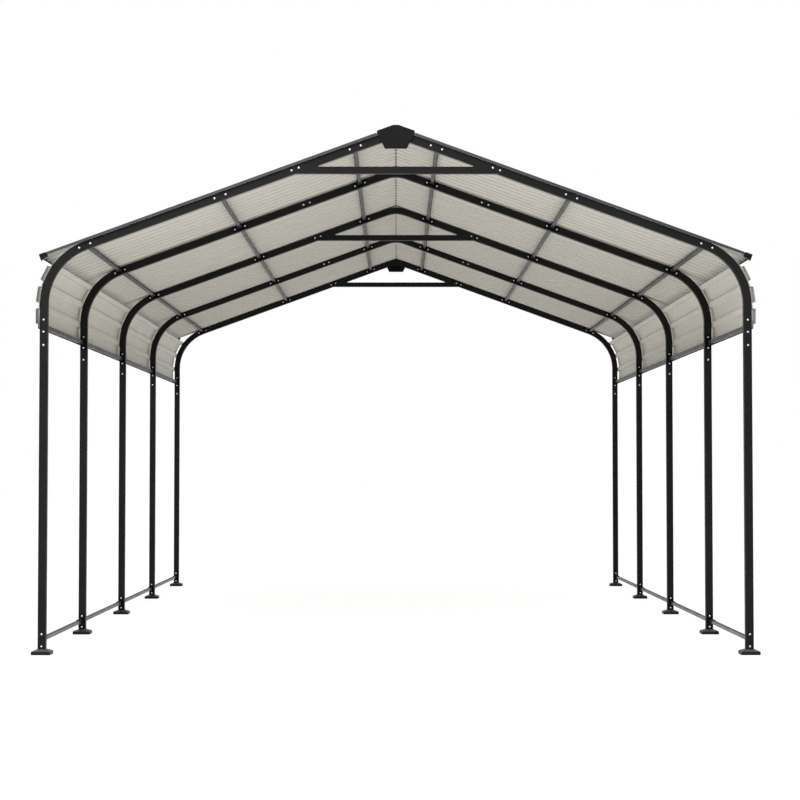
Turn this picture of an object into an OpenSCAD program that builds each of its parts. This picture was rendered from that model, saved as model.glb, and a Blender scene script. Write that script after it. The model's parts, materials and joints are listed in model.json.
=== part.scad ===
// Open carport: five bent tube frames on shoes, joined by rails, under a ribbed gable roof.
// Millimetres, +Z up. The floor is z = 0, the front is at -Y and the ridge runs along Y.

/* [Frames] */
// Width across the outer faces of the legs
frame_w = 3600; // [3000:10:4200]
// Height of the seam between a leg and its corner bend
leg_h = 1594; // [1400:1:2000]
// Outside size of the square frame tube
tube = 40; // [35:1:50]
// Wall of the frame tube
tube_wall = 1.5; // [1:0.1:3]
// Straight length at the lower end of a corner bend
bend_straight = 171; // [140:1:260]
// Centreline radius of a corner bend
bend_r = 320; // [280:5:360]
// Slope of the roof in degrees
roof_pitch = 20; // [15:0.5:25]
// Level distance from the ridge line to the seam of a peak piece
peak_half = 510; // [460:5:560]
// Centreline radius of the bend at the ridge
peak_r = 180; // [140:5:220]

/* [Bays] */
// Spacing of the front frame and the second frame
front_bay = 1280; // [900:10:1800]
// Spacing of the other frames
bay = 1600; // [1200:10:2000]

/* [Ties] */
// Height of a tie bar
tie_h = 35; // [25:1:40]
// Drop from the rafter apex to the middle of a tie bar
tie_drop = 189.5; // [180:0.5:200]
// Thickness of the tabs that bolt a tie bar to its frame
tab_t = 2.5; // [1.5:0.5:4]

/* [Shoes] */
// Side of the square shoe under a leg
shoe_w = 96; // [80:1:120]
// Height of the upright rim of a shoe
shoe_rim = 17; // [10:1:22]
// Height of a shoe where its sloped top meets the leg
shoe_h = 27; // [23:1:28]
// Thickness of the shoe floor under a leg
shoe_floor = 4; // [3:0.5:8]
// Width of the flat collar of a shoe round its leg
shoe_collar = 2; // [1:0.5:5]

/* [Rails] */
// Outside size of the square rails and purlins
rail = 20; // [16:1:25]
// Wall of the rails and purlins
rail_wall = 1.2; // [1:0.1:2]
// Height of the middle of the base rails
base_rail_z = 72; // [72:1:140]
// Height of the middle of the side rails above the leg seams
side_rail_up = 62; // [55:1:90]
// Distance of the ridge purlins from the apex, along the slope
ridge_purlin_s = 219; // [170:1:300]
// Distance of the eave purlins past the upper end of the rafters
eave_purlin_past = 6; // [0:1:20]
// Length of the bolted plate of an end bracket
plate_l = 84; // [76:1:84]
// Width of the bolted plate of an end bracket
plate_w = 34; // [28:1:35]
// Thickness of the bolted plate of an end bracket
plate_t = 3; // [2:0.5:5]
// Length of an end bracket along its rail
bracket_l = 90; // [40:1:120]
// Thickness of the channel of an end bracket
channel_t = 2; // [1.5:0.5:3]

/* [Sheets] */
// Thickness of the ribbed sheet
sheet_t = 0.8; // [0.5:0.1:1.2]
// Depth of the ribs in the roof sheets
rib_h = 10; // [8:0.5:16]
// Depth of the ribs in the side sheets
side_rib_h = 17; // [10:1:22]
// Width of the flat top of a rib
rib_top = 72; // [60:1:78]
// Sideways run of the sloped flank of a rib
rib_flank = 6; // [4:0.5:8]
// Pitch of the ribs in the side sheets
side_pitch = 109.5; // [106:0.5:114]
// Overhang of the roof past the end frames
roof_over = 10; // [6:1:30]
// Overhang of the roof past the outer faces of the legs
eave_over = 2; // [0:1:20]
// Clear gap between the two slopes of sheet at the ridge
ridge_gap = 4; // [3:1:12]
// Height of the strip that clamps the side sheets to the side rails
strip_h = 20; // [16:1:24]
// Thickness of the strip that clamps the side sheets to the side rails
strip_t = 4; // [3:0.5:6]

/* [Trims] */
// Thickness of the folded trims
trim_t = 1.2; // [0.8:0.1:2]
// Width of the eave trim flange lying on the ribs
trim_flange = 25; // [15:1:35]
// Width of the edge trim flange lying on the first rib
edge_flange = 45; // [30:1:60]
// Drop of the edge trims below the pans of the sheet
trim_drop = 1.5; // [0:0.5:6]
// Half width of the ridge cap
cap_half = 96; // [80:1:110]
// Half width of the flat along the top of the ridge cap
cap_flat = 14; // [8:1:20]
// Thickness of the moulded end caps
end_cap_t = 3; // [2:0.5:5]
// Half width of a ridge end cap at its lower edge
end_cap_foot = 56.5; // [40:0.5:70]
// Height of a ridge end cap
end_cap_h = 120; // [100:1:130]
// Height of the upright sides of a ridge end cap
end_cap_side = 10; // [6:1:14]
// Height of a ridge end cap above the ridge cap
end_cap_rise = 7.5; // [4:0.5:12]
// Length of the hood of a ridge end cap over the ridge cap
hood_l = 25; // [15:1:60]
// Length of an eave end cap along the slope
corner_cap_l = 41; // [32:1:60]
// Depth of the body of an eave end cap
corner_cap_h = 28; // [24:1:32]
// Size of the cut inner corners of an eave end cap
corner_cut = 5; // [3:0.5:10]
// Height of an eave end cap at its drip lip
corner_lip = 35; // [33:1:45]
// Width of the drip lip of an eave end cap
corner_lip_w = 10; // [6:1:14]

/* [Hidden] */
frame_n = 5;
tied_frames = [0, 2, 4];
roof_sheets_n = 7;
sheet_ribs = 8;
side_ribs = 3;
seat = 0.3;
round_fn = 48;
bend_fn = 96;
spare_arc = 2;
tube_round = 2 * tube_wall;
rail_round = 2 * rail_wall;
plate_round = 4;
frame_run = front_bay + (frame_n - 2) * bay;
leg_x = (frame_w - tube) / 2;
bend_x = leg_x - bend_r;
bend_z = leg_h + bend_straight;
bend_arc = 90 - roof_pitch;
tangent_x = bend_x + bend_r * cos(bend_arc);
apex_z = bend_z + bend_r * sin(bend_arc) + tangent_x * tan(roof_pitch);
tangent_s = tangent_x / cos(roof_pitch);
peak_end_s = peak_half / cos(roof_pitch);
peak_bend_s = peak_r * tan(roof_pitch);
under_apex_z = apex_z - tube / 2 / cos(roof_pitch);
tie_z = apex_z - tie_drop;
tie_wall = tube_wall;
tab_margin = 24;
tab_bolt_gap = 39;
tab_inset = 5;
side_rail_z = leg_h + side_rail_up;
eave_purlin_s = tangent_s + eave_purlin_past;
mid_purlin_s = (ridge_purlin_s + eave_purlin_s) / 2;
purlin_n = (tube - rail) / 2;
pan_n = tube / 2 + seat;
crest_n = pan_n + rib_h + sheet_t;
lap_lift = sheet_t + seat;
lap_trim = 3;
roof_l = frame_run + tube + 2 * roof_over;
rib_pitch = roof_l / (roof_sheets_n * sheet_ribs);
top_half = rib_top / 2;
base_half = top_half + rib_flank;
ridge_start = -crest_n;
eave_s = (frame_w / 2 + eave_over - crest_n * sin(roof_pitch)) / cos(roof_pitch);
side_seat = 0.8;
side_joint = 2;
side_end = tube / 2 + roof_over;
side_lap = 6;
strip_clear = 1;
cap_n = crest_n + lap_lift + seat;
cap_z = apex_z + cap_n / cos(roof_pitch);
hood_gap = trim_t / cos(roof_pitch) + seat;
end_cap_lift = trim_t + end_cap_rise;
trim_n = crest_n + seat;
trim_step = 2;
trim_start_s = (cap_half - crest_n * sin(roof_pitch)) / cos(roof_pitch) + end_cap_t;
eave_drop = 5;
end_y = roof_l / 2;
corner_inner_s = eave_s + seat + trim_t - corner_cap_l;

// Middle of a frame along Y
function frame_y(i) = -frame_run / 2 + (i == 0 ? 0 : front_bay + (i - 1) * bay);

// Normal on the left of the step from one point to the next
function step_normal(a, b) = [a[1] - b[1], b[0] - a[0]] / norm(b - a);

// Corner of a path moved out by t, so that both folds keep the same thickness
function moved_corner(p, i, t) =
    let (before = step_normal(p[max(i - 1, 0)], p[max(i, 1)]))
    let (last = len(p) - 1)
    let (after = step_normal(p[min(i, last - 1)], p[min(i + 1, last)]))
    p[i] + t * (before + after) / (1 + before * after);

// Closed outline of a folded sheet of thickness t along a path
function folded(p, t) =
    concat(p, [for (i = [len(p) - 1 : -1 : 0]) moved_corner(p, i, t)]);

// Middle of a roof rib along Y
function rib_y(k) = -end_y + (k + 0.5) * rib_pitch;

// Fold points of a whole roof rib
function whole_rib(c) = [
    [c - base_half, 0],
    [c - top_half, rib_h],
    [c + top_half, rib_h],
    [c + base_half, 0]
];

// Fold points of the rib that laps over the sheet before
function lapping_rib(c) = [
    [c - top_half, rib_h + lap_lift],
    [c + top_half, rib_h + lap_lift],
    [c + base_half, 0]
];

// Fold points of the rib that slips under the next sheet
function lapped_rib(c) = [
    [c - base_half, 0],
    [c - top_half, rib_h],
    [c + top_half - lap_trim, rib_h]
];

// Fold points of roof sheet j, front to rear
function roof_path(j) =
    let (first = j * sheet_ribs)
    let (next = first + sheet_ribs)
    concat(
        j == 0 ? concat([[-end_y, 0]], whole_rib(rib_y(0))) : lapping_rib(rib_y(first)),
        [for (k = [first + 1 : next - 1]) each whole_rib(rib_y(k))],
        j == roof_sheets_n - 1 ? [[end_y, 0]] : lapped_rib(rib_y(next))
    );

// Point at arc length u along the outer face of a leg and bend, d away from it
function skin_point(u, d) =
    let (a = u > 0 ? u / (bend_r + tube / 2) * 180 / PI : 0)
    let (r = bend_r + tube / 2 + d)
    [bend_x + r * cos(a), bend_z + min(u, 0) + r * sin(a)];

// Arc length of the middle of a side rib, counted up from the side rail
function side_rib_u(k) = side_rail_z - bend_z + side_lap + base_half + k * side_pitch;

// Fold points of a side sheet, from the side rail up round the corner bend
function side_path() = concat(
    [skin_point(side_rail_z - bend_z - rail / 2, side_seat)],
    [for (k = [0 : side_ribs - 1]) each [
        skin_point(side_rib_u(k) - base_half, side_seat),
        skin_point(side_rib_u(k) - top_half, side_seat + side_rib_h),
        skin_point(side_rib_u(k) + top_half, side_seat + side_rib_h),
        skin_point(side_rib_u(k) + base_half, side_seat)
    ]],
    [skin_point(side_rib_u(side_ribs - 1) + side_pitch - base_half, side_seat)]
);

// Square with true round corners
module round_square(w, d, r) {
    square([w - 2 * r, d], center = true);
    square([w, d - 2 * r], center = true);
    for (x = [-1, 1], y = [-1, 1])
        translate([x * (w / 2 - r), y * (d / 2 - r)])
            circle(r = r, $fn = round_fn);
}

// Section of a square tube
module tube_section(w, d, wall, r) {
    difference() {
        round_square(w, d, r);
        round_square(w - 2 * wall, d - 2 * wall, r - wall);
    }
}

module frame_section() {
    tube_section(tube, tube, tube_wall, tube_round);
}

module rail_section() {
    tube_section(rail, rail, rail_wall, rail_round);
}

// Places a thing on the right slope: X runs down the slope from the apex, Z is the slope normal
module on_slope(s, n = 0) {
    translate([0, 0, apex_z])
        rotate([0, roof_pitch, 0])
            translate([s, 0, n])
                children();
}

module mirrored() {
    mirror([1, 0, 0])
        children();
}

// Outline in X and Z made into a slab from y to y + t
module slab(y, t) {
    translate([0, y + t, 0])
        rotate([90, 0, 0])
            linear_extrude(height = t)
                children();
}

// Straight frame tube along the slope
module slope_tube(i, from_s, to_s) {
    on_slope(from_s)
        translate([0, frame_y(i), 0])
            rotate([0, 90, 0])
                linear_extrude(height = to_s - from_s)
                    frame_section();
}

// Straight frame tube that runs on, at its far end, into a bend about a centre r below it
module bent_tube(straight, r, arc) {
    rotate([0, 90, 0])
        linear_extrude(height = straight)
            frame_section();
    translate([0, 0, -r])
        rotate([90, 0, 0])
            rotate([0, 0, 90])
                rotate_extrude(angle = arc, $fn = bend_fn)
                    translate([r, 0])
                        frame_section();
}

module shoe_outline() {
    polygon([
        [-shoe_w / 2, 0],
        [shoe_w / 2, 0],
        [shoe_w / 2, shoe_rim],
        [tube / 2 + shoe_collar, shoe_h],
        [-tube / 2 - shoe_collar, shoe_h],
        [-shoe_w / 2, shoe_rim]
    ]);
}

module shoe(i) {
    socket = tube + 2 * seat;
    translate([leg_x, frame_y(i), 0])
        difference() {
            intersection() {
                slab(-shoe_w / 2, shoe_w)
                    shoe_outline();
                rotate([0, 0, 90])
                    slab(-shoe_w / 2, shoe_w)
                        shoe_outline();
            }
            translate([0, 0, shoe_floor])
                linear_extrude(height = shoe_h)
                    round_square(socket, socket, tube_round);
        }
}

module shoes() {
    color("#2a2b2d")
        for (i = [0 : frame_n - 1])
            shoe(i);
}

module legs() {
    color("#26272a")
        for (i = [0 : frame_n - 1])
            translate([leg_x, frame_y(i), shoe_floor])
                linear_extrude(height = leg_h - shoe_floor)
                    frame_section();
}

module corner_bend(i) {
    translate([leg_x, frame_y(i), bend_z])
        rotate([0, 90, 0])
            bent_tube(bend_straight, bend_r, bend_arc);
}

module corner_bends() {
    color("#26272a")
        for (i = [0 : frame_n - 1])
            corner_bend(i);
}

module rafters() {
    color("#26272a")
        for (i = [0 : frame_n - 1])
            slope_tube(i, peak_end_s, tangent_s);
}

// Right half of a peak, its bend made a little long and cut off at the ridge line
module half_peak(i) {
    intersection() {
        on_slope(peak_bend_s)
            translate([0, frame_y(i), 0])
                bent_tube(peak_end_s - peak_bend_s, peak_r, roof_pitch + spare_arc);
        translate([0, frame_y(i) - tube, 0])
            cube([frame_w / 2, 2 * tube, 2 * apex_z]);
    }
}

module peak(i) {
    half_peak(i);
    mirrored()
        half_peak(i);
}

module peaks() {
    color("#26272a")
        for (i = [0 : frame_n - 1])
            peak(i);
}

// Level position under the rafter at height z
function under_x(z) = (under_apex_z - z) / tan(roof_pitch);

// Point of the right rafter, s down the slope and n above its middle
function slope_point(s, n) = [
    s * cos(roof_pitch) + n * sin(roof_pitch),
    apex_z - s * sin(roof_pitch) + n * cos(roof_pitch)
];

module tie_tab() {
    low = tie_z - tie_h / 2;
    high = tie_z + tie_h / 2;
    reach = peak_end_s + tab_bolt_gap / 2 + tab_margin;
    half = tube / 2 - tab_inset;
    polygon([
        slope_point(reach, half),
        slope_point(peak_end_s - tab_bolt_gap / 2 - tab_margin, half),
        [under_x(high) - tab_margin, high],
        [under_x(high) - tab_margin, low],
        [under_x(low), low],
        slope_point(reach, -half)
    ]);
}

module tie(i) {
    face_y = frame_y(i) - tube / 2;
    color("#26272a") {
        intersection() {
            translate([-frame_w / 2, frame_y(i), tie_z])
                rotate([0, 90, 0])
                    linear_extrude(height = frame_w)
                        tube_section(tie_h, tube, tie_wall, tube_round);
            slab(face_y, tube)
                polygon([
                    [0, under_apex_z],
                    [frame_w / 2, under_apex_z - frame_w / 2 * tan(roof_pitch)],
                    [-frame_w / 2, under_apex_z - frame_w / 2 * tan(roof_pitch)]
                ]);
        }
        slab(face_y - tab_t, tab_t)
            tie_tab();
        mirrored()
            slab(face_y - tab_t, tab_t)
                tie_tab();
    }
}

// One line of rails, a tube in every bay between the bracket plates
module rail_line() {
    for (i = [0 : frame_n - 2])
        translate([0, frame_y(i) + tube / 2 + plate_t, 0])
            rotate([-90, 0, 0])
                linear_extrude(height = frame_y(i + 1) - frame_y(i) - tube - 2 * plate_t)
                    rail_section();
}

module base_rails() {
    color("#84878b")
        translate([(frame_w - rail) / 2, 0, base_rail_z])
            rail_line();
}

module side_rails() {
    color("#63666a")
        translate([(frame_w - rail) / 2, 0, side_rail_z])
            rail_line();
}

module purlins(s) {
    color("#63666a")
        on_slope(s, purlin_n)
            rail_line();
}

// Section of the channel that takes a rail end, open towards the sheets
module channel_section() {
    inner = rail / 2 + seat;
    outer = inner + channel_t;
    top = purlin_n + rail / 2;
    polygon([
        [-outer, top],
        [-outer, purlin_n - outer],
        [outer, purlin_n - outer],
        [outer, top],
        [inner, top],
        [inner, purlin_n - inner],
        [-inner, purlin_n - inner],
        [-inner, top]
    ]);
}

// End bracket on a frame face at y = 0, its plate along local X and its channel towards +Y
module end_bracket() {
    slab(0, plate_t)
        round_square(plate_l, plate_w, plate_round);
    slab(0, bracket_l)
        channel_section();
}

// Brackets at both ends of every rail in a line
module bracket_line() {
    for (i = [0 : frame_n - 2]) {
        translate([0, frame_y(i) + tube / 2, 0])
            end_bracket();
        translate([0, frame_y(i + 1) - tube / 2, 0])
            at_rear()
                end_bracket();
    }
}

module end_brackets() {
    color("#202124") {
        for (z = [base_rail_z, side_rail_z])
            translate([leg_x, 0, z])
                rotate([0, 90, 0])
                    bracket_line();
        for (s = [ridge_purlin_s, mid_purlin_s, eave_purlin_s])
            on_slope(s)
                bracket_line();
    }
}

// Outline in X and Z made into one length per bay, with a joint just behind every inner frame
module bay_lengths() {
    for (i = [0 : frame_n - 2]) {
        from_y = i == 0 ? -end_y : frame_y(i) + side_end + side_joint;
        slab(from_y, frame_y(i + 1) + side_end - from_y)
            children();
    }
}

module side_sheets() {
    color("#c9c5ba")
        bay_lengths()
            polygon(folded(side_path(), -sheet_t));
}

module sheet_strips() {
    color("#1d1e20")
        bay_lengths()
            translate([
                frame_w / 2 + side_seat + sheet_t + seat,
                side_rail_z + side_lap - strip_clear - strip_h
            ])
                square([strip_t, strip_h]);
}

// One right roof sheet, cut off upright along the ridge gap
module roof_sheet(j) {
    intersection() {
        on_slope(ridge_start, pan_n)
            rotate([90, 0, 90])
                linear_extrude(height = eave_s - ridge_start)
                    polygon(folded(roof_path(j), sheet_t));
        translate([ridge_gap / 2, -roof_l, 0])
            cube([frame_w, 2 * roof_l, 2 * apex_z]);
    }
}

module roof_sheets() {
    color("#c9c5ba")
        for (j = [0 : roof_sheets_n - 1])
            roof_sheet(j);
}

// Height of the underside of the ridge cap at x
function cap_at(x) = cap_z - x * tan(roof_pitch);

module ridge_cap() {
    color("#1d1e20")
        slab(-end_y, roof_l)
            polygon(folded([
                [-cap_half, cap_at(cap_half)],
                [-cap_flat, cap_at(cap_flat)],
                [cap_flat, cap_at(cap_flat)],
                [cap_half, cap_at(cap_half)]
            ], trim_t));
}

module end_cap_outline() {
    top = cap_at(cap_flat) + end_cap_lift;
    shoulder = cap_at(cap_half) + end_cap_lift;
    polygon([
        [-cap_flat, top],
        [-cap_half, shoulder],
        [-cap_half, shoulder - end_cap_side],
        [-end_cap_foot, top - end_cap_h],
        [end_cap_foot, top - end_cap_h],
        [cap_half, shoulder - end_cap_side],
        [cap_half, shoulder],
        [cap_flat, top]
    ]);
}

// Section of the hood of a ridge end cap, on the ridge cap
module hood_section() {
    polygon([
        [-cap_half, cap_at(cap_half) + hood_gap],
        [-cap_flat, cap_at(cap_flat) + hood_gap],
        [cap_flat, cap_at(cap_flat) + hood_gap],
        [cap_half, cap_at(cap_half) + hood_gap],
        [cap_half, cap_at(cap_half) + end_cap_lift],
        [cap_flat, cap_at(cap_flat) + end_cap_lift],
        [-cap_flat, cap_at(cap_flat) + end_cap_lift],
        [-cap_half, cap_at(cap_half) + end_cap_lift]
    ]);
}

// Front ridge end cap: a plate before the ridge, a hood over it and a rib that rests on the peak
module ridge_end_cap() {
    rest_h = tube / 2;
    color("#1d1e20") {
        slab(-end_y - end_cap_t, end_cap_t)
            end_cap_outline();
        slab(-end_y - end_cap_t, end_cap_t + hood_l)
            hood_section();
        slab(-end_y, roof_over)
            translate([0, cap_at(cap_flat) + end_cap_lift - end_cap_h + rest_h / 2])
                square([2 * end_cap_foot, rest_h], center = true);
    }
}

// Front right edge trim: a flange over the first rib and a stepped face before the sheet end
module edge_trim() {
    face_h = trim_n - pan_n;
    length = corner_inner_s - trim_start_s - seat;
    color("#5f6164")
        on_slope(trim_start_s, pan_n)
            rotate([90, 0, 90])
                linear_extrude(height = length)
                    polygon([
                        [-end_y + edge_flange, face_h],
                        [-end_y + edge_flange, face_h + trim_t],
                        [-end_y - trim_t - seat, face_h + trim_t],
                        [-end_y - trim_t - seat, face_h / 2],
                        [-end_y - trim_t - seat - trim_step, face_h / 2 - trim_step],
                        [-end_y - trim_t - seat - trim_step, -trim_drop],
                        [-end_y - seat, -trim_drop],
                        [-end_y - seat, face_h]
                    ]);
}

module front_edge_trims() {
    edge_trim();
    mirrored()
        edge_trim();
}

// Right eave trim: a flange on the ribs, a face over the sheet ends and a drip edge below
module eave_trim() {
    color("#1d1e20")
        on_slope(0)
            slab(-end_y, roof_l)
                polygon(folded([
                    [eave_s - trim_flange, trim_n + lap_lift],
                    [eave_s + seat, trim_n + lap_lift],
                    [eave_s + seat, pan_n - eave_drop]
                ], trim_t));
}

// Front right eave end cap: a plate over the corner with a drip lip
module eave_end_cap() {
    top = trim_n + lap_lift + trim_t;
    low = top - corner_cap_h;
    outer = corner_inner_s + corner_cap_l;
    color("#1d1e20")
        on_slope(0)
            slab(-end_y - seat - end_cap_t, end_cap_t)
                polygon([
                    [corner_inner_s + corner_cut, top],
                    [outer, top],
                    [outer, top - corner_lip],
                    [outer - corner_lip_w, top - corner_lip],
                    [outer - corner_lip_w, low],
                    [corner_inner_s + corner_cut, low],
                    [corner_inner_s, low + corner_cut],
                    [corner_inner_s, top - corner_cut]
                ]);
}

module front_eave_end_caps() {
    eave_end_cap();
    mirrored()
        eave_end_cap();
}

// Turns a front piece into the matching rear piece
module at_rear() {
    mirror([0, 1, 0])
        children();
}

mirrored() shoes();  // left_shoes
shoes();  // right_shoes
mirrored() legs();  // left_legs
legs();  // right_legs
mirrored() corner_bends();  // left_corner_bends
corner_bends();  // right_corner_bends
mirrored() rafters();  // left_rafters
rafters();  // right_rafters
peaks();
tie(tied_frames[0]);  // front_tie
tie(tied_frames[1]);  // middle_tie
tie(tied_frames[2]);  // rear_tie
mirrored() base_rails();  // left_base_rails
base_rails();  // right_base_rails
mirrored() side_rails();  // left_side_rails
side_rails();  // right_side_rails
mirrored() purlins(eave_purlin_s);  // left_eave_purlins
purlins(eave_purlin_s);  // right_eave_purlins
mirrored() purlins(mid_purlin_s);  // left_mid_purlins
purlins(mid_purlin_s);  // right_mid_purlins
mirrored() purlins(ridge_purlin_s);  // left_ridge_purlins
purlins(ridge_purlin_s);  // right_ridge_purlins
mirrored() end_brackets();  // left_end_brackets
end_brackets();  // right_end_brackets
mirrored() side_sheets();  // left_side_sheets
side_sheets();  // right_side_sheets
mirrored() sheet_strips();  // left_sheet_strips
sheet_strips();  // right_sheet_strips
mirrored() roof_sheets();  // left_roof_sheets
roof_sheets();  // right_roof_sheets
ridge_cap();
ridge_end_cap();  // front_ridge_end_cap
at_rear() ridge_end_cap();  // rear_ridge_end_cap
front_edge_trims();
at_rear() front_edge_trims();  // rear_edge_trims
mirrored() eave_trim();  // left_eave_trim
eave_trim();  // right_eave_trim
front_eave_end_caps();
at_rear() front_eave_end_caps();  // rear_eave_end_caps
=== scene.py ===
import json
import math

import bmesh
import bpy
import numpy as np
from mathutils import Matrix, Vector


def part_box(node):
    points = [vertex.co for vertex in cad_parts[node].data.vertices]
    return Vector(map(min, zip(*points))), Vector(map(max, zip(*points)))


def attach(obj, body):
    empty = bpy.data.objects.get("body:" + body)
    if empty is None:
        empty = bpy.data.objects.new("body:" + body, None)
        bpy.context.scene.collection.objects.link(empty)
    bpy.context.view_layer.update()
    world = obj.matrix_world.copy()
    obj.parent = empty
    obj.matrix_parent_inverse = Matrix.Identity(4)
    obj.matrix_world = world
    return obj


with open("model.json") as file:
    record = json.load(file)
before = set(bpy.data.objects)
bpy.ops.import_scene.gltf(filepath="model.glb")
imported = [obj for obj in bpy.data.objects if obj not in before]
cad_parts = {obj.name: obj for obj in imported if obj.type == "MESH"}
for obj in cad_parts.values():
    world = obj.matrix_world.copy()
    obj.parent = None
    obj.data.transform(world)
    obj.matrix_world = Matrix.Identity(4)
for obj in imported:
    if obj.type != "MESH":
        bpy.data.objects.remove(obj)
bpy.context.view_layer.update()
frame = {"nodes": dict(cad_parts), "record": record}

# Sizes read from the solids, in metres
SIDES = (-1, 1)
FEET = [mount["pos_m"] for mount in frame["record"]["mounts"]]
FRAME_Y = sorted({round(foot[1], 4) for foot in FEET})
LEG_X = max(foot[0] for foot in FEET)
TIED_FRAMES = (0, 2, 4)


def span(node, axis):
    low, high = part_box(node)
    return high[axis] - low[axis]


def middle(node):
    low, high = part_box(node)
    return (low + high) / 2


TUBE = span("right_legs", 0)
RAIL = span("right_base_rails", 0)
BASE_RAIL_Z = middle("right_base_rails").z
SIDE_RAIL_Z = middle("right_side_rails").z
LEG_TOP_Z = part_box("right_legs")[1].z
TAB_T = FRAME_Y[0] - TUBE / 2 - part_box("front_tie")[0].y
END_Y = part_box("ridge_cap")[1].y

# Sizes that the boxes don't give, repeated from the part's source
PLATE_T = 0.003
END_CAP_T = 0.003
SHEET_T = 0.0008
TRIM_T = 0.0012
SEAT = 0.0003
SIDE_SEAT = 0.0008
RIB_H = 0.010
RIB_N = 56
RIB_PITCH = 2 * END_Y / RIB_N
SIDE_RIBS = 3
SIDE_RIB_H = 0.017
SIDE_RIB_PITCH = 0.1095
SIDE_RIB_TOP = 0.036
SIDE_RIB_BASE = 0.042
SIDE_LAP = 0.006
SIDE_JOINT = 0.002
BEND_R = 0.32

# The right roof slope: DOWN runs along it from the apex, UP is its normal
PURLIN_N = (TUBE - RAIL) / 2
RIDGE_LINE = middle("right_ridge_purlins")
EAVE_LINE = middle("right_eave_purlins")
PITCH = math.atan2(RIDGE_LINE.z - EAVE_LINE.z, EAVE_LINE.x - RIDGE_LINE.x)
DOWN = Vector((math.cos(PITCH), 0, -math.sin(PITCH)))
UP = Vector((math.sin(PITCH), 0, math.cos(PITCH)))


def along(node):
    """Distance of a purlin from the apex, down the slope."""
    return (middle(node) - PURLIN_N * UP).x / DOWN.x


PURLIN_S = [along(f"right_{line}_purlins") for line in ("ridge", "mid", "eave")]
APEX = RIDGE_LINE - PURLIN_N * UP - PURLIN_S[0] * DOWN
PEAK_S = (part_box("peaks")[1].x - TUBE / 2 * UP.x) / DOWN.x
BEND_X = LEG_X - BEND_R
TANGENT_S = (BEND_X + BEND_R * UP.x) / DOWN.x
BEND_Z = (APEX + TANGENT_S * DOWN - BEND_R * UP).z
PAN_TOP_N = TUBE / 2 + SEAT + SHEET_T
CREST_TOP_N = PAN_TOP_N + RIB_H
LAP_LIFT = SHEET_T + SEAT


def sided(point, y, side):
    """A point of the right half at a given y, kept or mirrored to the left half."""
    return np.array((side * point.x, y, point.z))


def slope_place(s, n, y, side):
    """Place and outward axis on a roof slope."""
    return sided(APEX + s * DOWN + n * UP, y, side), sided(UP, 0, side)


def rafter_point(s):
    """Point of the right rafter's middle line, which runs on into the corner bend."""
    turn = max(s - TANGENT_S, 0) / BEND_R
    if turn == 0:
        return APEX + s * DOWN
    angle = math.pi / 2 - PITCH - turn
    return Vector((BEND_X + BEND_R * math.cos(angle), 0, BEND_Z + BEND_R * math.sin(angle)))


def skin_place(u, lift, y, side):
    """Place and outward axis on a side sheet at arc length u from the foot of the bend."""
    outer = BEND_R + TUBE / 2
    angle = max(u, 0) / outer
    out = Vector((math.cos(angle), 0, math.sin(angle)))
    point = Vector((BEND_X, 0, BEND_Z + min(u, 0))) + (outer + lift) * out
    return sided(point, y, side), sided(out, 0, side)


# Fasteners: a small turned shape is copied to many places and joined into one mesh
RING = 24
HEX_STEP = math.pi / 3
TWIST = np.random.RandomState(7)
ROUND, HEX = False, True
METAL, SEAL = 0, 1
STEEP = 0.9


def ring(radius, z, hexagonal):
    points = []
    for k in range(RING):
        angle = 2 * math.pi * k / RING
        reach = radius
        if hexagonal:
            reach = radius / math.cos((angle + HEX_STEP / 2) % HEX_STEP - HEX_STEP / 2)
        points.append((reach * math.cos(angle), reach * math.sin(angle), z))
    return points


def turned(profile):
    """Closed turned shape: rows of radius, height, hexagonal or round, and material index."""
    verts, faces, slots = [], [], []
    for radius, z, hexagonal, _ in profile:
        verts.extend(ring(radius, z, hexagonal))
    faces.append(tuple(range(RING - 1, -1, -1)))
    slots.append(profile[0][3])
    for r in range(len(profile) - 1):
        for k in range(RING):
            low, high = r * RING, (r + 1) * RING
            after = (k + 1) % RING
            faces.append((low + k, low + after, high + after, high + k))
            slots.append(profile[r + 1][3])
    last = (len(profile) - 1) * RING
    faces.append(tuple(range(last, last + RING)))
    slots.append(profile[-1][3])
    return np.array(verts), faces, slots


def bolt_head():
    """Domed head with a pressed flange and a six-sided socket."""
    flange_r, flange_t = 0.0051, 0.0007
    dome_r, dome_h = 0.0046, 0.0029
    socket_r, socket_z = 0.0013, 0.0018
    rows = [(flange_r, 0, ROUND, METAL), (flange_r, flange_t * 0.7, ROUND, METAL)]
    rows.append((flange_r * 0.97, flange_t, ROUND, METAL))
    dome_angles = (0, 16, 32, 46, 58, 68)
    for degrees in dome_angles:
        a = math.radians(degrees)
        rows.append((dome_r * math.cos(a), flange_t + dome_h * math.sin(a), ROUND, METAL))
    top = rows[-1][1]
    rows.append((socket_r, top, HEX, METAL))
    rows.append((socket_r, socket_z, HEX, METAL))
    return turned(rows)


def nut():
    """Washer, chamfered six-sided nut and the end of the thread."""
    washer_r, washer_t = 0.0080, 0.0012
    flat, nut_top = 0.0050, 0.0062
    thread_r, thread_top = 0.0030, 0.0092
    chamfer, thread_chamfer = 0.0006, 0.0005
    return turned([
        (washer_r, 0, ROUND, METAL),
        (washer_r, washer_t * 0.8, ROUND, METAL),
        (washer_r * 0.97, washer_t, ROUND, METAL),
        (flat * 0.98, washer_t, ROUND, METAL),
        (flat, washer_t + chamfer, HEX, METAL),
        (flat, nut_top - chamfer, HEX, METAL),
        (flat * 0.96, nut_top, ROUND, METAL),
        (thread_r, nut_top, ROUND, METAL),
        (thread_r, thread_top - thread_chamfer, ROUND, METAL),
        (thread_r * 0.8, thread_top, ROUND, METAL),
    ])


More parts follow.
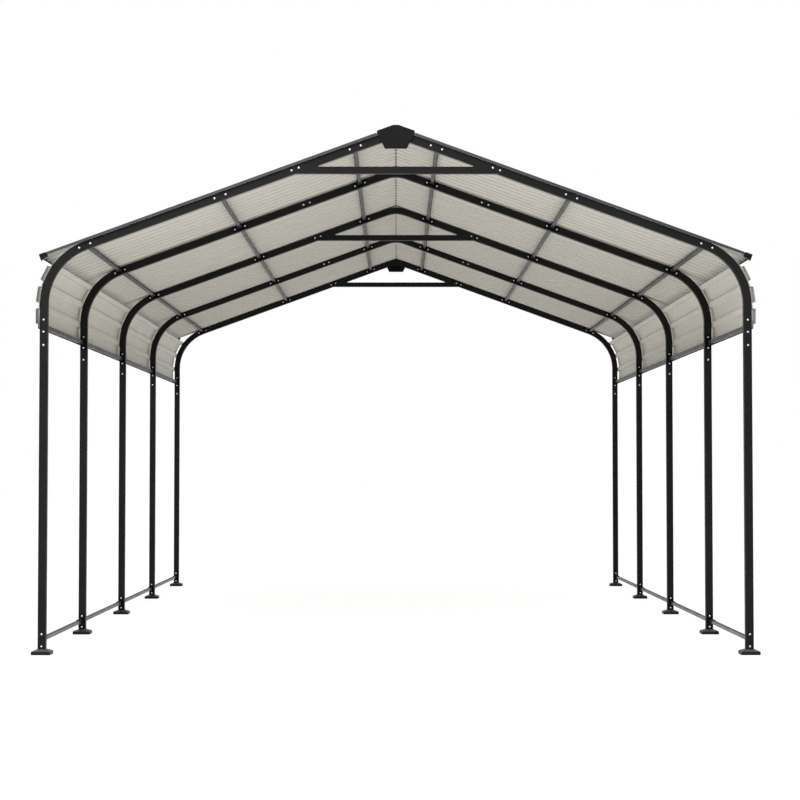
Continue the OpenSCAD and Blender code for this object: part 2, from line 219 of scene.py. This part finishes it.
def sheet_screw():
    """Six-sided screw head with its flange, on a rubber sealing washer."""
    seal_r, seal_t = 0.0068, 0.0014
    flange_t, head_r, head_h = 0.0009, 0.0040, 0.0042
    flange_top = seal_t + flange_t
    head_top = flange_top + head_h
    return turned([
        (seal_r, 0, ROUND, SEAL),
        (seal_r * 1.05, seal_t * 0.5, ROUND, SEAL),
        (seal_r * 0.98, seal_t, ROUND, SEAL),
        (seal_r, seal_t + 0.0002, ROUND, METAL),
        (seal_r * 0.96, flange_top, ROUND, METAL),
        (head_r * 1.12, flange_top + 0.0003, ROUND, METAL),
        (head_r, flange_top + 0.0008, HEX, METAL),
        (head_r, head_top - 0.0005, HEX, METAL),
        (head_r * 0.94, head_top, ROUND, METAL),
    ])


def turn_to(axis, twist):
    """Rotation that takes local Z to the axis, with a twist about it."""
    axis = axis / np.linalg.norm(axis)
    helper = np.array((0, 0, 1.0)) if abs(axis[2]) < STEEP else np.array((1.0, 0, 0))
    side = np.cross(helper, axis)
    side /= np.linalg.norm(side)
    other = np.cross(axis, side)
    u = math.cos(twist) * side + math.sin(twist) * other
    return np.column_stack((u, np.cross(axis, u), axis))


SHARP = math.radians(32)


def add_piece(name, mesh):
    """Puts a mesh into the scene as a piece of the object."""
    piece = bpy.data.objects.new(name, mesh)
    bpy.context.scene.collection.objects.link(piece)
    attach(piece, "root")


def fasten(name, shape, places, materials):
    """One joined mesh of a turned shape at many places."""
    verts, faces, slots = shape
    all_verts, all_faces = [], []
    for number, (point, axis) in enumerate(places):
        turn = turn_to(axis, TWIST.uniform(0, 2 * math.pi))
        all_verts.append(verts @ turn.T + point)
        start = number * len(verts)
        all_faces.extend([tuple(start + v for v in face) for face in faces])
    mesh = bpy.data.meshes.new(name)
    mesh.from_pydata(np.concatenate(all_verts).tolist(), [], all_faces)
    mesh.polygons.foreach_set("material_index", slots * len(places))
    mesh.polygons.foreach_set("use_smooth", [True] * len(all_faces))
    mesh.set_sharp_from_angle(angle=SHARP)
    for material in materials:
        mesh.materials.append(material)
    add_piece(name, mesh)


def moved(path, distance):
    """Open path moved to its right by a distance, with mitred corners."""
    points = np.array(path)
    steps = np.diff(points, axis=0)
    normals = np.column_stack((steps[:, 1], -steps[:, 0])) / np.linalg.norm(steps, axis=1)[:, None]
    before, after = np.vstack((normals[:1], normals)), np.vstack((normals, normals[-1:]))
    return points + distance * (before + after) / (1 + (before * after).sum(axis=1))[:, None]


def fold(name, path, gap, thickness, runs, material):
    """Folded sheet along a path in X and Z, over runs that each have a side, a near y and a far y."""
    outline = np.vstack((moved(path, gap), moved(path, gap + thickness)[::-1]))
    count = len(outline)
    verts, faces = [], []
    for side, near, far in runs:
        start = len(verts)
        verts.extend((side * x, y, z) for y in (near, far) for x, z in outline)
        for k in range(count):
            after = (k + 1) % count
            faces.append((start + k, start + after, start + count + after, start + count + k))
        for first in (start, start + count):
            for k in range(len(path) - 1):
                faces.append((first + k, first + k + 1, first + count - 2 - k, first + count - 1 - k))
    mesh = bpy.data.meshes.new(name)
    mesh.from_pydata(verts, [], faces)
    shell = bmesh.new()
    shell.from_mesh(mesh)
    bmesh.ops.recalc_face_normals(shell, faces=shell.faces)
    shell.to_mesh(mesh)
    shell.free()
    mesh.materials.append(material)
    add_piece(name, mesh)


# How a face lies, as the dot product of its normal with a direction
EDGE_FLAT, EDGE_SHARP = 0.99, 0.80
DUST_AND_LIGHT_FROM, DUST_AND_LIGHT_FULL = 0.15, 0.5
INSIDE = -0.12
FLANK = -0.7
TOP_FACE = 0.5
CUT_EDGE = 0.1

# Range that a noise mostly keeps to
NOISE_LOW, NOISE_HIGH = 0.3, 0.7


# Materials, all from nodes in object space, so that one unit is one metre
class Nodes:
    def __init__(self, name):
        self.material = bpy.data.materials.new(name)
        self.material.use_nodes = True
        self.tree = self.material.node_tree
        self.tree.nodes.clear()
        self.output = self.add("ShaderNodeOutputMaterial")
        self.shader = self.add("ShaderNodeBsdfPrincipled")
        self.link(self.shader.outputs["BSDF"], self.output.inputs["Surface"])
        self.place = self.add("ShaderNodeTexCoord").outputs["Object"]

    def add(self, kind, **values):
        node = self.tree.nodes.new(kind)
        for key, value in values.items():
            setattr(node, key, value)
        return node

    def link(self, source, target):
        self.tree.links.new(source, target)

    def noise(self, scale, detail, stretch=None):
        node = self.add("ShaderNodeTexNoise")
        node.inputs["Scale"].default_value = scale
        node.inputs["Detail"].default_value = detail
        place = self.place
        if stretch:
            mapping = self.add("ShaderNodeMapping")
            mapping.inputs["Scale"].default_value = stretch
            self.link(self.place, mapping.inputs["Vector"])
            place = mapping.outputs["Vector"]
        self.link(place, node.inputs["Vector"])
        return node.outputs["Fac"]

    def cells(self, scale):
        node = self.add("ShaderNodeTexVoronoi")
        node.inputs["Scale"].default_value = scale
        self.link(self.place, node.inputs["Vector"])
        split = self.add("ShaderNodeSeparateColor")
        self.link(node.outputs["Color"], split.inputs["Color"])
        return split.outputs["Red"]

    def math(self, operation, a, b, clamp=False):
        node = self.add("ShaderNodeMath", operation=operation, use_clamp=clamp)
        for socket, value in zip(node.inputs, (a, b)):
            if isinstance(value, (int, float)):
                socket.default_value = value
            else:
                self.link(value, socket)
        return node.outputs["Value"]

    def spread(self, value, low, high, to_low=0.0, to_high=1.0):
        node = self.add("ShaderNodeMapRange")
        self.link(value, node.inputs["Value"])
        for key, number in (("From Min", low), ("From Max", high), ("To Min", to_low), ("To Max", to_high)):
            node.inputs[key].default_value = number
        return node.outputs["Result"]

    def weighted(self, *terms):
        """Sum of values, each times its weight."""
        total = None
        for value, weight in terms:
            share = self.math("MULTIPLY", value, weight)
            total = self.math("ADD", total, share) if total else share
        return total

    def blend(self, factor, a, b):
        node = self.add("ShaderNodeMix", data_type="RGBA")
        self.link(factor, node.inputs["Factor"])
        for socket, colour in ((node.inputs[6], a), (node.inputs[7], b)):
            if isinstance(colour, tuple):
                socket.default_value = (*colour, 1)
            else:
                self.link(colour, socket)
        return node.outputs[2]

    def edges(self, radius):
        """Mask that is 1 on sharp edges, and the softened normal there."""
        bevel = self.add("ShaderNodeBevel", samples=4)
        bevel.inputs["Radius"].default_value = radius
        flat = self.add("ShaderNodeNewGeometry").outputs["Normal"]
        dot = self.add("ShaderNodeVectorMath", operation="DOT_PRODUCT")
        self.link(bevel.outputs["Normal"], dot.inputs[0])
        self.link(flat, dot.inputs[1])
        return self.spread(dot.outputs["Value"], EDGE_FLAT, EDGE_SHARP), bevel.outputs["Normal"]

    def dust_and_light_mask(self, amount):
        """Mask of dust on faces which look up, which also paints light on them."""
        split = self.add("ShaderNodeSeparateXYZ")
        self.link(self.add("ShaderNodeNewGeometry").outputs["Normal"], split.inputs["Vector"])
        lying = self.spread(split.outputs["Z"], DUST_AND_LIGHT_FROM, DUST_AND_LIGHT_FULL, 0.0, amount)
        patchy = self.spread(self.noise(scale=55.0, detail=4.0), 0.3, 0.6, to_low=0.6)
        return self.math("MULTIPLY", lying, patchy, clamp=True)

    def bump(self, height, strength, distance, normal=None):
        node = self.add("ShaderNodeBump")
        node.inputs["Strength"].default_value = strength
        node.inputs["Distance"].default_value = distance
        self.link(height, node.inputs["Height"])
        if normal:
            self.link(normal, node.inputs["Normal"])
        self.link(node.outputs["Normal"], self.shader.inputs["Normal"])

    def colour(self, source):
        self.link(source, self.shader.inputs["Base Color"])

    def rough(self, source):
        self.link(source, self.shader.inputs["Roughness"])

    def uneven(self, roughness, reach, scale, detail):
        """Roughness that wanders by a reach to each side."""
        noise = self.noise(scale, detail)
        self.rough(self.spread(noise, NOISE_LOW, NOISE_HIGH, roughness - reach, roughness + reach))

    def shine(self, specular):
        self.shader.inputs["Specular IOR Level"].default_value = specular


def shade(colour, factor):
    return tuple(channel * factor for channel in colour)


# Tone of the dust on faces that look up; on the shoes it is dust and also painted light on the sloped tops
DUST_AND_LIGHT_TONE = (0.125, 0.124, 0.120)
BARE_LIFT, BARE_GAIN = 0.10, 1.5
RUBBED_LIFT = 0.06


def painted(name, colour, roughness, specular, wear=0.2, edge=0.0015, dust_and_light=None):
    """Sprayed coat: cloudy tone, fine orange peel, worn edges and, if asked, dust on top that also paints light
    there.
    """
    n = Nodes(name)
    cloud = n.noise(scale=2.3, detail=4.0)
    speck = n.noise(scale=140.0, detail=2.0)
    tone = n.weighted((cloud, 0.65), (speck, 0.35))
    coat = n.blend(n.spread(tone, 0.36, 0.64), shade(colour, 0.84), shade(colour, 1.16))
    worn, soft = n.edges(edge)
    scuff = n.spread(n.noise(scale=38.0, detail=5.0), 0.42, 0.66, to_high=wear)
    bare = n.math("MULTIPLY", worn, scuff, clamp=True)
    coat = n.blend(bare, coat, tuple(BARE_LIFT + BARE_GAIN * channel for channel in colour))
    if dust_and_light:
        coat = n.blend(n.dust_and_light_mask(dust_and_light), coat, DUST_AND_LIGHT_TONE)
    n.colour(coat)
    n.uneven(roughness, reach=0.07, scale=9.0, detail=3.0)
    n.shine(specular)
    n.bump(n.noise(scale=900.0, detail=2.0), strength=0.35, distance=0.00006, normal=soft)
    return n.material


def coated_sheet(name, colour, roughness, specular, streak):
    """Coil-coated sheet: faint rolling streaks down the slope and a soft grain."""
    n = Nodes(name)
    streaks = n.noise(scale=1.0, detail=4.0, stretch=(1.2, 16.0, 1.2))
    cloud = n.noise(scale=1.7, detail=3.0)
    grain = n.noise(scale=420.0, detail=2.0)
    tone = n.weighted((streaks, 0.5), (cloud, 0.3), (grain, 0.2))
    n.colour(n.blend(n.spread(tone, 0.38, 0.62), shade(colour, 1 - streak), shade(colour, 1 + streak)))
    n.uneven(roughness, reach=0.08, scale=6.0, detail=4.0)
    n.shine(specular)
    n.bump(n.noise(scale=650.0, detail=2.0), strength=0.25, distance=0.00005)
    return n.material


def plated(name, colour, roughness, metallic):
    """Zinc plate: small crystals of slightly different brightness."""
    n = Nodes(name)
    crystal = n.cells(scale=900.0)
    cloud = n.noise(scale=60.0, detail=3.0)
    tone = n.weighted((crystal, 0.5), (cloud, 0.5))
    n.colour(n.blend(n.spread(tone, 0.2, 0.8), shade(colour, 0.82), shade(colour, 1.15)))
    n.rough(n.spread(crystal, 0.0, 1.0, roughness - 0.06, roughness + 0.08))
    n.shader.inputs["Metallic"].default_value = metallic
    n.bump(n.noise(scale=1800.0, detail=2.0), strength=0.2, distance=0.00003)
    return n.material


def moulded(name, colour, roughness, specular, grain):
    """Moulded part: fine spark-eroded grain and a dry, cloudy tone."""
    n = Nodes(name)
    cloud = n.noise(scale=14.0, detail=4.0)
    speck = n.noise(scale=260.0, detail=2.0)
    tone = n.weighted((cloud, 0.6), (speck, 0.4))
    skin = n.blend(n.spread(tone, 0.35, 0.65), shade(colour, 0.82), shade(colour, 1.18))
    worn, soft = n.edges(radius=0.002)
    scuff = n.spread(n.noise(scale=70.0, detail=4.0), 0.4, 0.7, to_high=0.3)
    rubbed = n.math("MULTIPLY", worn, scuff, clamp=True)
    n.colour(n.blend(rubbed, skin, tuple(RUBBED_LIFT + channel for channel in colour)))
    n.uneven(roughness, reach=0.06, scale=30.0, detail=3.0)
    n.shine(specular)
    n.bump(n.noise(scale=grain, detail=3.0), strength=0.4, distance=0.00008, normal=soft)
    return n.material


FRAME_BLACK = painted("frame_black", (0.0120, 0.0121, 0.0125), roughness=0.50, specular=0.07)
# The shoes' edge wear is wider and stronger than elsewhere: it is wear and also a painted highlight along the
# rim
SHOE_BLACK = painted(
    "shoe_black", (0.0105, 0.0106, 0.0110), roughness=0.48, specular=0.12, wear=0.35, edge=0.004, dust_and_light=0.85)
BRACKET_BLACK = painted("bracket_black", (0.0045, 0.0046, 0.0049), roughness=0.50, specular=0.05)
RAIL_GREY = painted("rail_grey", (0.053, 0.0545, 0.0585), roughness=0.46, specular=0.08)
# The base rails' grey is a lighter copy of the rail grey: painted light for the rails that stand in the open
BASE_GREY_LIT = painted("base_grey_painted_light", (0.142, 0.145, 0.151), roughness=0.46, specular=0.20)
# Darker tone on the base rails' upper faces: painted shade
BASE_TOP_SHADE = painted("base_top_painted_shade", (0.012, 0.0122, 0.0128), roughness=0.50, specular=0.15)
CAP_BLACK = painted("cap_black", (0.012, 0.0122, 0.0127), roughness=0.45, specular=0.15)
TRIM_GREY = painted("trim_grey", (0.062, 0.0636, 0.068), roughness=0.45, specular=0.15)
SHEET_CREAM = coated_sheet(
    "sheet_cream", (0.635, 0.613, 0.558), roughness=0.58, specular=0.2, streak=0.018)
# Darker cream on the roof sheets' pans: painted shade
SHEET_PAN_SHADE = coated_sheet("sheet_pan_painted_shade", (0.435, 0.415, 0.370), roughness=0.62, specular=0.2, streak=0.03)
# Lighter cream on the side sheets' rib flanks: painted light
SHEET_WALL_LIT = coated_sheet("sheet_wall_painted_light", (0.740, 0.715, 0.650), roughness=0.58, specular=0.2, streak=0.018)
SHEET_CHARCOAL = coated_sheet(
    "sheet_charcoal", (0.085, 0.088, 0.094), roughness=0.44, specular=0.35, streak=0.10)
MOULD_BLACK = moulded(
    "mould_black", (0.0088, 0.0088, 0.0091), roughness=0.56, specular=0.06, grain=1500.0)
ZINC = plated("zinc", (0.80, 0.80, 0.79), roughness=0.30, metallic=0.6)
SCREW_GREY = painted(
    "screw_grey", (0.075, 0.078, 0.084), roughness=0.40, specular=0.4, wear=0.6, edge=0.0006)
SEAL_RUBBER = moulded("seal_rubber", (0.010, 0.010, 0.010), roughness=0.75, specular=0.15, grain=2200.0)


def dress(node, *materials):
    """Gives a CAD node its materials in place of the plain imported one."""
    mesh = frame["nodes"][node].data
    mesh.materials.clear()
    for material in materials:
        mesh.materials.append(material)
    return mesh


def dress_base(node):
    """Grey rail in a lighter copy of the rail grey, which is painted light, with a painted shade on its upper
    face.
    """
    mesh = dress(node, BASE_GREY_LIT, BASE_TOP_SHADE)
    for face in mesh.polygons:
        face.material_index = int(face.normal.z > TOP_FACE)


def dress_sheet(node, outward, painted_faces, painted_tone):
    """Charcoal outside and on cut edges, cream inside, and on chosen inside faces a lighter or darker cream
    that paints light or shade.
    """
    mesh = dress(node, SHEET_CHARCOAL, SHEET_CREAM, painted_tone)
    for face in mesh.polygons:
        facing = face.normal.dot(outward(face.center))
        inside = facing < INSIDE
        face.material_index = (2 if painted_faces(face, facing) else 1) if inside else 0


def side_outward(point):
    side = math.copysign(1, point.x)
    if point.z < BEND_Z:
        return Vector((side, 0, 0))
    return Vector((point.x - side * BEND_X, 0, point.z - BEND_Z)).normalized()


def roof_outward(point):
    return Vector((math.copysign(UP.x, point.x), 0, UP.z))


def side_wall(face, facing):
    """The steep flanks of the side sheets' ribs, which take painted light."""
    return facing > FLANK


def roof_pan(face, facing):
    """The pans of the roof sheets, which lie on the purlins and take a painted shade."""
    level = (Vector((abs(face.center.x), 0, face.center.z)) - APEX).dot(UP)
    return abs(face.normal.y) < CUT_EDGE and level < PAN_TOP_N


for hand in ("left", "right"):
    for part in ("legs", "corner_bends", "rafters"):
        dress(f"{hand}_{part}", FRAME_BLACK)
    for part in ("side_rails", "eave_purlins", "mid_purlins", "ridge_purlins"):
        dress(f"{hand}_{part}", RAIL_GREY)
    dress_base(f"{hand}_base_rails")
    dress(f"{hand}_shoes", SHOE_BLACK)
    dress(f"{hand}_end_brackets", BRACKET_BLACK)
    dress(f"{hand}_sheet_strips", CAP_BLACK)
    dress(f"{hand}_eave_trim", CAP_BLACK)
    dress_sheet(f"{hand}_side_sheets", side_outward, side_wall, SHEET_WALL_LIT)
    dress_sheet(f"{hand}_roof_sheets", roof_outward, roof_pan, SHEET_PAN_SHADE)
for part in ("peaks", "front_tie", "middle_tie", "rear_tie"):
    dress(part, FRAME_BLACK)
dress("ridge_cap", CAP_BLACK)
for end in ("front", "rear"):
    dress(f"{end}_ridge_end_cap", MOULD_BLACK)
    dress(f"{end}_eave_end_caps", MOULD_BLACK)
    dress(f"{end}_edge_trims", TRIM_GREY)

# Bolts through the frames: a head on the front face, a nut on the rear face
BASE_PAIR = 0.0306
SIDE_PAIR = 0.0305
PURLIN_PAIR = 0.030
PEAK_PAIR = 0.0195
SPLICE_DROP = 0.036
LAST_FRAME = len(FRAME_Y) - 1


def rail_bolts():
    """Points of the bolts that hold the rails and purlins of the right half."""
    points = [Vector((LEG_X, 0, BASE_RAIL_Z + k * BASE_PAIR)) for k in SIDES]
    points += [Vector((LEG_X, 0, SIDE_RAIL_Z + k * SIDE_PAIR)) for k in SIDES]
    points += [rafter_point(s + k * PURLIN_PAIR) for s in PURLIN_S for k in SIDES]
    return points


heads, nuts = [], []
for i, frame_y in enumerate(FRAME_Y):
    front, rear = frame_y - TUBE / 2, frame_y + TUBE / 2
    plain = (front, rear)
    plated_faces = (front - (PLATE_T if i > 0 else 0), rear + (PLATE_T if i < LAST_FRAME else 0))
    tabbed = (front - (TAB_T if i in TIED_FRAMES else 0), rear)
    bolts = [(point, plated_faces) for point in rail_bolts()]
    bolts.append((Vector((LEG_X, 0, LEG_TOP_Z - SPLICE_DROP)), plain))
    bolts += [(rafter_point(PEAK_S + k * PEAK_PAIR), tabbed) for k in SIDES]
    for point, (head_y, nut_y) in bolts:
        for side in SIDES:
            heads.append((sided(point, head_y, side), np.array((0, -1.0, 0))))
            nuts.append((sided(point, nut_y, side), np.array((0, 1.0, 0))))
fasten("frame_bolt_heads", bolt_head(), heads, [ZINC])
fasten("frame_bolt_nuts", nut(), nuts, [ZINC])

# Screws that hold the sheets and trims
SCREW_EVERY = 2
STRIP_SCREWS = 5
CAP_SCREW_X = 0.078
SCREWED = [SCREW_GREY, SEAL_RUBBER]

roof_screws = [
    slope_place(s, PAN_TOP_N, -END_Y + k * RIB_PITCH, side)
    for side in SIDES for s in PURLIN_S for k in range(SCREW_EVERY, RIB_N, SCREW_EVERY)
]
fasten("roof_sheet_screws", sheet_screw(), roof_screws, SCREWED)

cap_n = CREST_TOP_N + LAP_LIFT + SEAT + TRIM_T
cap_s = (CAP_SCREW_X - cap_n * UP.x) / DOWN.x
cap_screws = [
    slope_place(cap_s, cap_n, -END_Y + (k + 0.5) * RIB_PITCH, side)
    for side in SIDES for k in range(1, RIB_N, SCREW_EVERY)
]
fasten("ridge_cap_screws", sheet_screw(), cap_screws, SCREWED)

strip_z = middle("right_sheet_strips").z
strip_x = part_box("right_sheet_strips")[1].x
first_rib = SIDE_RAIL_Z - BEND_Z + SIDE_LAP + SIDE_RIB_BASE
valleys = [first_rib + (k + 0.5) * SIDE_RIB_PITCH for k in range(SIDE_RIBS)]
side_lift = SIDE_SEAT + SHEET_T
side_screws = []
for side in SIDES:
    side_screws += [skin_place(u, side_lift, y, side) for y in FRAME_Y for u in valleys]
    for near, far in zip(FRAME_Y, FRAME_Y[1:]):
        for k in range(STRIP_SCREWS):
            y = near + (far - near) * (k + 0.5) / STRIP_SCREWS
            side_screws.append((np.array((side * strip_x, y, strip_z)), np.array((side, 0, 0.0))))
fasten("side_sheet_screws", sheet_screw(), side_screws, SCREWED)

# Strips over the joints of the side sheets, and a fold that covers the rib ends at the ridge
LAP_HALF = 0.012
LAP_T = 0.0006
LAP_SHORT = 0.002
JOINT_PAST = END_Y - FRAME_Y[-1] + SIDE_JOINT / 2
FOLD_HALF = 0.05
FOLD_TOP = 0.002
HOOD_L = span("front_ridge_end_cap", 1) - END_CAP_T


def skin_point(u, lift):
    place, _ = skin_place(u, SIDE_SEAT + lift, 0, 1)
    return place[0], place[2]


lap_path = []
for k in range(SIDE_RIBS):
    mid = first_rib + k * SIDE_RIB_PITCH
    steps = (
        (-SIDE_RIB_BASE, 0), (-SIDE_RIB_TOP, SIDE_RIB_H), (SIDE_RIB_TOP, SIDE_RIB_H), (SIDE_RIB_BASE, 0))
    lap_path += [skin_point(mid + step, lift) for step, lift in steps]
lap_path.append(skin_point(first_rib + SIDE_RIBS * SIDE_RIB_PITCH - SIDE_RIB_BASE - LAP_SHORT, 0))
joints = [frame_y + JOINT_PAST for frame_y in FRAME_Y[1:-1]]
fold(
    "side_sheet_laps", lap_path, SHEET_T + SEAT, LAP_T,
    [(side, y - LAP_HALF, y + LAP_HALF) for side in SIDES for y in joints], SHEET_CHARCOAL)

cap_low, cap_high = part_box("ridge_cap")
cap_half = cap_high.x - TRIM_T * UP.x
fold_path = [
    (x, cap_low.z + (cap_half - abs(x)) * math.tan(PITCH))
    for x in (FOLD_HALF, FOLD_TOP, -FOLD_TOP, -FOLD_HALF)
]
fold(
    "ridge_cap_fold", fold_path, TRIM_T + SEAT, TRIM_T,
    [(1, -END_Y + HOOD_L + SEAT, END_Y - HOOD_L - SEAT)], CAP_BLACK)

# Camera where the photograph was taken from
camera_data = bpy.data.cameras.new("camera")
camera_data.lens = 89.02
camera_data.sensor_width = 36.0
camera = bpy.data.objects.new("camera", camera_data)
camera.location = (0.0032, -13.0366, 0.9085)
camera.rotation_euler = (math.radians(92.134), 0, math.radians(-0.102))
bpy.context.scene.collection.objects.link(camera)
bpy.context.scene.camera = camera

# Plain floor. The camera and reflections see it glow to near white, with the object's shadow. The light that it
# throws back comes from a pale grey with a little light of its own.
FLOOR_HALF = 60.0
FLOOR_DROP = 0.0006
FLOOR_PALE = ((0.80, 0.80, 0.80), (0.82, 0.82, 0.82))
FLOOR_LIGHT = 0.24
FLOOR_SHADOW = (0.26, 0.26, 0.26, 1)
FLOOR_GLOW = 0.87
floor_mesh = bpy.data.meshes.new("floor")
floor_mesh.from_pydata(
    [(x * FLOOR_HALF, y * FLOOR_HALF, -FLOOR_DROP) for x, y in ((-1, -1), (1, -1), (1, 1), (-1, 1))],
    [], [(0, 1, 2, 3)])
floor = bpy.data.objects.new("floor", floor_mesh)
bpy.context.scene.collection.objects.link(floor)

ground = Nodes("floor_white")
ground.tree.nodes.remove(ground.shader)
bounce = ground.add("ShaderNodeBsdfDiffuse")
mottle = ground.spread(ground.noise(scale=0.6, detail=3.0), NOISE_LOW, NOISE_HIGH)
ground.link(ground.blend(mottle, *FLOOR_PALE), bounce.inputs["Color"])
table = ground.add("ShaderNodeEmission")
table.inputs["Strength"].default_value = FLOOR_LIGHT
lit = ground.add("ShaderNodeAddShader")
ground.link(bounce.outputs["BSDF"], lit.inputs[0])
ground.link(table.outputs["Emission"], lit.inputs[1])
faint = ground.add("ShaderNodeBsdfDiffuse")
faint.inputs["Color"].default_value = FLOOR_SHADOW
glow = ground.add("ShaderNodeEmission")
glow.inputs["Color"].default_value = (1, 1, 1, 1)
glow.inputs["Strength"].default_value = FLOOR_GLOW
seen = ground.add("ShaderNodeAddShader")
ground.link(faint.outputs["BSDF"], seen.inputs[0])
ground.link(glow.outputs["Emission"], seen.inputs[1])
ray = ground.add("ShaderNodeLightPath")
mirrored = ground.math("MAXIMUM", ray.outputs["Is Glossy Ray"], ray.outputs["Is Transmission Ray"])
direct = ground.math("MAXIMUM", ray.outputs["Is Camera Ray"], mirrored)
choose = ground.add("ShaderNodeMixShader")
ground.link(direct, choose.inputs["Fac"])
ground.link(lit.outputs["Shader"], choose.inputs[1])
ground.link(seen.outputs["Shader"], choose.inputs[2])
ground.link(choose.outputs["Shader"], ground.output.inputs["Surface"])
floor_mesh.materials.append(ground.material)

# White surroundings for the camera and reflections. Diffuse light is darker from the side of the camera, where
# the heading's Y is lowest, as in a studio.
SKY_LIGHT = 0.62
ROOM_LIGHT = 0.2
ROOM_FROM, ROOM_TO = -0.95, -0.35
world = bpy.data.worlds.new("studio")
bpy.context.scene.world = world
world.use_nodes = True
sky = world.node_tree
sky.nodes.clear()


def sky_math(operation, a, b):
    node = sky.nodes.new("ShaderNodeMath")
    node.operation = operation
    sky.links.new(a, node.inputs[0])
    sky.links.new(b, node.inputs[1])
    return node.outputs["Value"]


def sky_range(value, low, high, to_low, to_high):
    node = sky.nodes.new("ShaderNodeMapRange")
    sky.links.new(value, node.inputs["Value"])
    for key, number in (("From Min", low), ("From Max", high), ("To Min", to_low), ("To Max", to_high)):
        node.inputs[key].default_value = number
    return node.outputs["Result"]


sky_ray = sky.nodes.new("ShaderNodeLightPath").outputs
heading = sky.nodes.new("ShaderNodeSeparateXYZ")
sky.links.new(sky.nodes.new("ShaderNodeTexCoord").outputs["Generated"], heading.inputs["Vector"])
mirror_ray = sky_math("MAXIMUM", sky_ray["Is Glossy Ray"], sky_ray["Is Transmission Ray"])
plain_ray = sky_math("MAXIMUM", sky_ray["Is Camera Ray"], mirror_ray)
level = sky_range(plain_ray, 0.0, 1.0, SKY_LIGHT, 1.0)
room = sky_range(heading.outputs["Y"], ROOM_FROM, ROOM_TO, ROOM_LIGHT, 1.0)
strength = sky_math("MULTIPLY", level, sky_math("MAXIMUM", room, plain_ray))
backdrop = sky.nodes.new("ShaderNodeBackground")
backdrop.inputs["Color"].default_value = (1, 1, 1, 1)
sky.links.new(strength, backdrop.inputs["Strength"])
sky_output = sky.nodes.new("ShaderNodeOutputWorld")
sky.links.new(backdrop.outputs["Background"], sky_output.inputs["Surface"])


def softbox(name, place, target, size, power):
    """Large soft lamp that the camera doesn't see."""
    data = bpy.data.lights.new(name, "AREA")
    data.shape = "RECTANGLE"
    data.size, data.size_y = size
    data.energy = power
    lamp = bpy.data.objects.new(name, data)
    lamp.location = place
    lamp.rotation_euler = (Vector(target) - Vector(place)).to_track_quat("-Z", "Y").to_euler()
    lamp.visible_camera = False
    bpy.context.scene.collection.objects.link(lamp)


softbox("key", place=(-2.5, -8.5, 6.5), target=(0, -2.5, 1.2), size=(5.0, 4.0), power=570)
softbox("top", place=(2.0, 1.0, 9.0), target=(0, 0, 2.5), size=(8.0, 8.0), power=190)

bpy.context.scene.view_settings.view_transform = "Standard"
